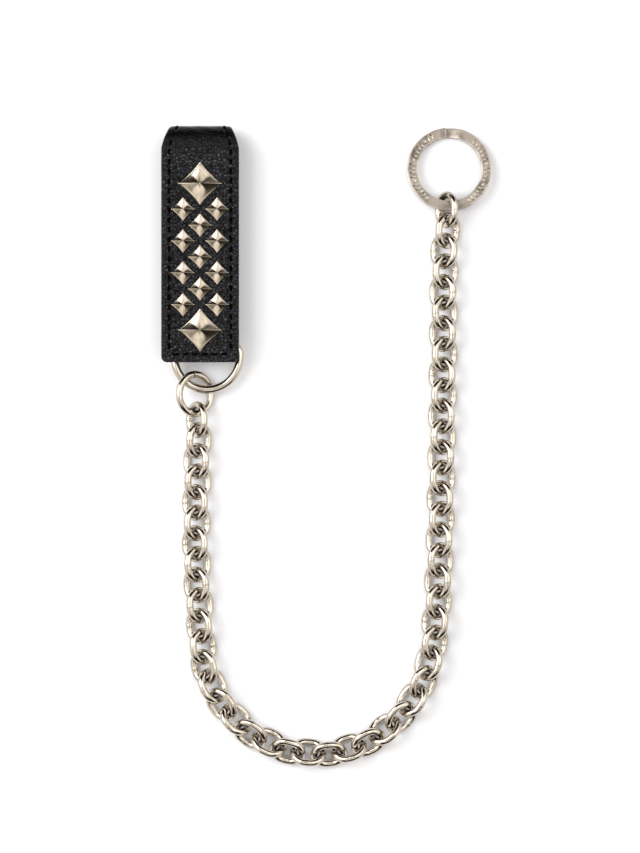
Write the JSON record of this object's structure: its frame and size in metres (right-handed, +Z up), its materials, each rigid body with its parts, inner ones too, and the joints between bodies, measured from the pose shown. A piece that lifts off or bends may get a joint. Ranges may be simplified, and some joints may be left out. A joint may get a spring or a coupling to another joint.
{
  "type": "wallet chain",
  "caption": "Studded leather belt loop with a snap, a D-ring and a jump ring, a cable-link chain and a flat split key ring; clips a wallet or keys to a belt.",
  "frame": {"origin": "middle of the belt loop's back face, which lies on the table", "axes": "+X across the belt loop towards the key ring's side, +Y along the loop from the D-ring to the fold, +Z up, out of the studded front"},
  "size_m": [0.1278, 0.2489, 0.0166],
  "materials": {
    "black_leather": "pebble grain, waxed",
    "black_lining": "smooth",
    "black_thread": "waxed thread",
    "chain_nickel": "nickel plate over steel wire, polished",
    "stud_nickel": "nickel plate, polished",
    "snap_nickel": "nickel plate",
    "key_ring_steel": "brushed flat wire"
  },
  "bodies": {
    "belt_loop_back": {"back_strap": "black_leather", "snap_post": "snap_nickel"},
    "belt_flap": {"front_flap": "black_leather", "flap_lining": "black_lining", "snap_socket": "snap_nickel", "pyramid_studs": "stud_nickel", "flap_stitching": "black_thread"},
    "d_ring": {"d_ring": "chain_nickel"},
    "jump_ring": {"jump_ring": "chain_nickel"},
    "link_01": {"link_01": "chain_nickel"},
    "link_02": {"link_02": "chain_nickel"},
    "link_03": {"link_03": "chain_nickel"},
    "link_04": {"link_04": "chain_nickel"},
    "link_05": {"link_05": "chain_nickel"},
    "link_06": {"link_06": "chain_nickel"},
    "link_07": {"link_07": "chain_nickel"},
    "link_08": {"link_08": "chain_nickel"},
    "link_09": {"link_09": "chain_nickel"},
    "link_10": {"link_10": "chain_nickel"},
    "link_11": {"link_11": "chain_nickel"},
    "link_12": {"link_12": "chain_nickel"},
    "link_13": {"link_13": "chain_nickel"},
    "link_14": {"link_14": "chain_nickel"},
    "link_15": {"link_15": "chain_nickel"},
    "link_16": {"link_16": "chain_nickel"},
    "link_17": {"link_17": "chain_nickel"},
    "link_18": {"link_18": "chain_nickel"},
    "link_19": {"link_19": "chain_nickel"},
    "link_20": {"link_20": "chain_nickel"},
    "link_21": {"link_21": "chain_nickel"},
    "link_22": {"link_22": "chain_nickel"},
    "link_23": {"link_23": "chain_nickel"},
    "link_24": {"link_24": "chain_nickel"},
    "link_25": {"link_25": "chain_nickel"},
    "link_26": {"link_26": "chain_nickel"},
    "link_27": {"link_27": "chain_nickel"},
    "link_28": {"link_28": "chain_nickel"},
    "link_29": {"link_29": "chain_nickel"},
    "link_30": {"link_30": "chain_nickel"},
    "link_31": {"link_31": "chain_nickel"},
    "link_32": {"link_32": "chain_nickel"},
    "link_33": {"link_33": "chain_nickel"},
    "link_34": {"link_34": "chain_nickel"},
    "link_35": {"link_35": "chain_nickel"},
    "link_36": {"link_36": "chain_nickel"},
    "link_37": {"link_37": "chain_nickel"},
    "link_38": {"link_38": "chain_nickel"},
    "link_39": {"link_39": "chain_nickel"},
    "link_40": {"link_40": "chain_nickel"},
    "link_41": {"link_41": "chain_nickel"},
    "link_42": {"link_42": "chain_nickel"},
    "link_43": {"link_43": "chain_nickel"},
    "link_44": {"link_44": "chain_nickel"},
    "link_45": {"link_45": "chain_nickel"},
    "link_46": {"link_46": "chain_nickel"},
    "link_47": {"link_47": "chain_nickel"},
    "link_48": {"link_48": "chain_nickel"},
    "link_49": {"link_49": "chain_nickel"},
    "link_50": {"link_50": "chain_nickel"},
    "key_ring": {"key_ring": "key_ring_steel"}
  },
  "joints": [
    {"name": "belt_flap_open", "type": "hinge", "parent": "belt_loop_back", "child": "belt_flap", "pos_m": [0, 0.0458, 0.0063], "axis": [-1, 0, 0], "range_deg": [0, 100]},
    {"name": "d_ring_lift", "type": "hinge", "parent": "belt_loop_back", "child": "d_ring", "pos_m": [0.0025, -0.0399, 0.005], "axis": [-1, 0, 0], "range_deg": [0, 22]},
    {"name": "jump_ring_slide", "type": "hinge", "parent": "d_ring", "child": "jump_ring", "pos_m": [0.0025, -0.0437, 0.005], "axis": [0, 0, 1], "range_deg": [-20, 25]},
    {"name": "link_01_swing", "type": "hinge", "parent": "jump_ring", "child": "link_01", "pos_m": [-0.001, -0.064, 0.0045], "axis": [0, 0, 1], "range_deg": [-15, 15]},
    {"name": "link_02_swing", "type": "hinge", "parent": "link_01", "child": "link_02", "pos_m": [-0.00101, -0.072, 0.0045], "axis": [0, 0, -1], "range_deg": [-15, 15]},
    {"name": "link_03_swing", "type": "hinge", "parent": "link_02", "child": "link_03", "pos_m": [-0.00115, -0.08, 0.0045], "axis": [0, 0, 1], "range_deg": [-15, 15]},
    {"name": "link_04_swing", "type": "hinge", "parent": "link_03", "child": "link_04", "pos_m": [-0.00136, -0.088, 0.0045], "axis": [0, 0, -1], "range_deg": [-15, 15]},
    {"name": "link_05_swing", "type": "hinge", "parent": "link_04", "child": "link_05", "pos_m": [-0.00159, -0.09599, 0.0045], "axis": [0, 0, 1], "range_deg": [-15, 15]},
    {"name": "link_06_swing", "type": "hinge", "parent": "link_05", "child": "link_06", "pos_m": [-0.00176, -0.10399, 0.0045], "axis": [0, 0, -1], "range_deg": [-15, 15]},
    {"name": "link_07_swing", "type": "hinge", "parent": "link_06", "child": "link_07", "pos_m": [-0.0018, -0.11199, 0.0045], "axis": [0, 0, 1], "range_deg": [-15, 15]},
    {"name": "link_08_swing", "type": "hinge", "parent": "link_07", "child": "link_08", "pos_m": [-0.00168, -0.11999, 0.0045], "axis": [0, 0, -1], "range_deg": [-15, 15]},
    {"name": "link_09_swing", "type": "hinge", "parent": "link_08", "child": "link_09", "pos_m": [-0.0014, -0.12798, 0.0045], "axis": [0, 0, 1], "range_deg": [-15, 15]},
    {"name": "link_10_swing", "type": "hinge", "parent": "link_09", "child": "link_10", "pos_m": [-0.00096, -0.13597, 0.0045], "axis": [0, 0, -1], "range_deg": [-15, 15]},
    {"name": "link_11_swing", "type": "hinge", "parent": "link_10", "child": "link_11", "pos_m": [-0.00041, -0.14395, 0.0045], "axis": [0, 0, 1], "range_deg": [-15, 15]},
    {"name": "link_12_swing", "type": "hinge", "parent": "link_11", "child": "link_12", "pos_m": [0.00017, -0.15193, 0.0045], "axis": [0, 0, -1], "range_deg": [-15, 15]},
    {"name": "link_13_swing", "type": "hinge", "parent": "link_12", "child": "link_13", "pos_m": [0.0009, -0.1599, 0.0045], "axis": [0, 0, 1], "range_deg": [-15, 15]},
    {"name": "link_14_swing", "type": "hinge", "parent": "link_13", "child": "link_14", "pos_m": [0.00266, -0.16769, 0.0045], "axis": [0, 0, -1], "range_deg": [-11, 11]},
    {"name": "link_15_swing", "type": "hinge", "parent": "link_14", "child": "link_15", "pos_m": [0.0061, -0.17489, 0.0045], "axis": [0, 0, 1], "range_deg": [-11, 11]},
    {"name": "link_16_swing", "type": "hinge", "parent": "link_15", "child": "link_16", "pos_m": [0.01078, -0.18138, 0.0045], "axis": [0, 0, -1], "range_deg": [-11, 11]},
    {"name": "link_17_swing", "type": "hinge", "parent": "link_16", "child": "link_17", "pos_m": [0.01632, -0.18714, 0.0045], "axis": [0, 0, 1], "range_deg": [-11, 11]},
    {"name": "link_18_swing", "type": "hinge", "parent": "link_17", "child": "link_18", "pos_m": [0.02277, -0.19185, 0.0045], "axis": [0, 0, -1], "range_deg": [-11, 11]},
    {"name": "link_19_swing", "type": "hinge", "parent": "link_18", "child": "link_19", "pos_m": [0.03002, -0.19519, 0.0045], "axis": [0, 0, 1], "range_deg": [-11, 11]},
    {"name": "link_20_swing", "type": "hinge", "parent": "link_19", "child": "link_20", "pos_m": [0.03777, -0.19714, 0.0045], "axis": [0, 0, -1], "range_deg": [-11, 11]},
    {"name": "link_21_swing", "type": "hinge", "parent": "link_20", "child": "link_21", "pos_m": [0.04574, -0.1977, 0.0045], "axis": [0, 0, 1], "range_deg": [-11, 11]},
    {"name": "link_22_swing", "type": "hinge", "parent": "link_21", "child": "link_22", "pos_m": [0.05368, -0.19685, 0.0045], "axis": [0, 0, -1], "range_deg": [-11, 11]},
    {"name": "link_23_swing", "type": "hinge", "parent": "link_22", "child": "link_23", "pos_m": [0.06134, -0.19457, 0.0045], "axis": [0, 0, 1], "range_deg": [-11, 11]},
    {"name": "link_24_swing", "type": "hinge", "parent": "link_23", "child": "link_24", "pos_m": [0.06843, -0.19089, 0.0045], "axis": [0, 0, -1], "range_deg": [-11, 11]},
    {"name": "link_25_swing", "type": "hinge", "parent": "link_24", "child": "link_25", "pos_m": [0.0747, -0.18594, 0.0045], "axis": [0, 0, 1], "range_deg": [-11, 11]},
    {"name": "link_26_swing", "type": "hinge", "parent": "link_25", "child": "link_26", "pos_m": [0.0801, -0.18005, 0.0045], "axis": [0, 0, -1], "range_deg": [-11, 11]},
    {"name": "link_27_swing", "type": "hinge", "parent": "link_26", "child": "link_27", "pos_m": [0.08455, -0.17341, 0.0045], "axis": [0, 0, 1], "range_deg": [-11, 11]},
    {"name": "link_28_swing", "type": "hinge", "parent": "link_27", "child": "link_28", "pos_m": [0.08781, -0.16612, 0.0045], "axis": [0, 0, -1], "range_deg": [-11, 11]},
    {"name": "link_29_swing", "type": "hinge", "parent": "link_28", "child": "link_29", "pos_m": [0.08981, -0.15838, 0.0045], "axis": [0, 0, 1], "range_deg": [-11, 11]},
    {"name": "link_30_swing", "type": "hinge", "parent": "link_29", "child": "link_30", "pos_m": [0.09098, -0.15047, 0.0045], "axis": [0, 0, -1], "range_deg": [-17, 17]},
    {"name": "link_31_swing", "type": "hinge", "parent": "link_30", "child": "link_31", "pos_m": [0.09171, -0.1425, 0.0045], "axis": [0, 0, 1], "range_deg": [-17, 17]},
    {"name": "link_32_swing", "type": "hinge", "parent": "link_31", "child": "link_32", "pos_m": [0.09218, -0.13451, 0.0045], "axis": [0, 0, -1], "range_deg": [-17, 17]},
    {"name": "link_33_swing", "type": "hinge", "parent": "link_32", "child": "link_33", "pos_m": [0.09252, -0.12652, 0.0045], "axis": [0, 0, 1], "range_deg": [-17, 17]},
    {"name": "link_34_swing", "type": "hinge", "parent": "link_33", "child": "link_34", "pos_m": [0.0928, -0.11853, 0.0045], "axis": [0, 0, -1], "range_deg": [-17, 17]},
    {"name": "link_35_swing", "type": "hinge", "parent": "link_34", "child": "link_35", "pos_m": [0.09302, -0.11053, 0.0045], "axis": [0, 0, 1], "range_deg": [-24, 24]},
    {"name": "link_36_swing", "type": "hinge", "parent": "link_35", "child": "link_36", "pos_m": [0.0932, -0.10253, 0.0045], "axis": [0, 0, -1], "range_deg": [-24, 24]},
    {"name": "link_37_swing", "type": "hinge", "parent": "link_36", "child": "link_37", "pos_m": [0.09336, -0.09453, 0.0045], "axis": [0, 0, 1], "range_deg": [-24, 24]},
    {"name": "link_38_swing", "type": "hinge", "parent": "link_37", "child": "link_38", "pos_m": [0.0935, -0.08653, 0.0045], "axis": [0, 0, -1], "range_deg": [-24, 24]},
    {"name": "link_39_swing", "type": "hinge", "parent": "link_38", "child": "link_39", "pos_m": [0.09363, -0.07854, 0.0045], "axis": [0, 0, 1], "range_deg": [-24, 24]},
    {"name": "link_40_swing", "type": "hinge", "parent": "link_39", "child": "link_40", "pos_m": [0.09376, -0.07054, 0.0045], "axis": [0, 0, -1], "range_deg": [-24, 24]},
    {"name": "link_41_swing", "type": "hinge", "parent": "link_40", "child": "link_41", "pos_m": [0.09389, -0.06254, 0.0045], "axis": [0, 0, 1], "range_deg": [-24, 24]},
    {"name": "link_42_swing", "type": "hinge", "parent": "link_41", "child": "link_42", "pos_m": [0.09402, -0.05454, 0.0045], "axis": [0, 0, -1], "range_deg": [-24, 24]},
    {"name": "link_43_swing", "type": "hinge", "parent": "link_42", "child": "link_43", "pos_m": [0.09413, -0.04654, 0.0045], "axis": [0, 0, 1], "range_deg": [-24, 24]},
    {"name": "link_44_swing", "type": "hinge", "parent": "link_43", "child": "link_44", "pos_m": [0.09423, -0.03854, 0.0045], "axis": [0, 0, -1], "range_deg": [-24, 24]},
    {"name": "link_45_swing", "type": "hinge", "parent": "link_44", "child": "link_45", "pos_m": [0.09429, -0.03054, 0.0045], "axis": [0, 0, 1], "range_deg": [-24, 24]},
    {"name": "link_46_swing", "type": "hinge", "parent": "link_45", "child": "link_46", "pos_m": [0.09433, -0.02254, 0.0045], "axis": [0, 0, -1], "range_deg": [-24, 24]},
    {"name": "link_47_swing", "type": "hinge", "parent": "link_46", "child": "link_47", "pos_m": [0.0944, -0.01454, 0.0045], "axis": [0, 0, 1], "range_deg": [-24, 24]},
    {"name": "link_48_swing", "type": "hinge", "parent": "link_47", "child": "link_48", "pos_m": [0.09461, -0.00654, 0.0045], "axis": [0, 0, -1], "range_deg": [-24, 24]},
    {"name": "link_49_swing", "type": "hinge", "parent": "link_48", "child": "link_49", "pos_m": [0.09503, 0.00144, 0.0045], "axis": [0, 0, 1], "range_deg": [-18, 18]},
    {"name": "link_50_swing", "type": "hinge", "parent": "link_49", "child": "link_50", "pos_m": [0.09575, 0.00941, 0.0045], "axis": [0, 0, -1], "range_deg": [-12, 12]},
    {"name": "key_ring_lift", "type": "hinge", "parent": "link_50", "child": "key_ring", "pos_m": [0.09651, 0.01489, 0.00532], "axis": [1, 0, 0], "range_deg": [0, 90]}
  ]
}
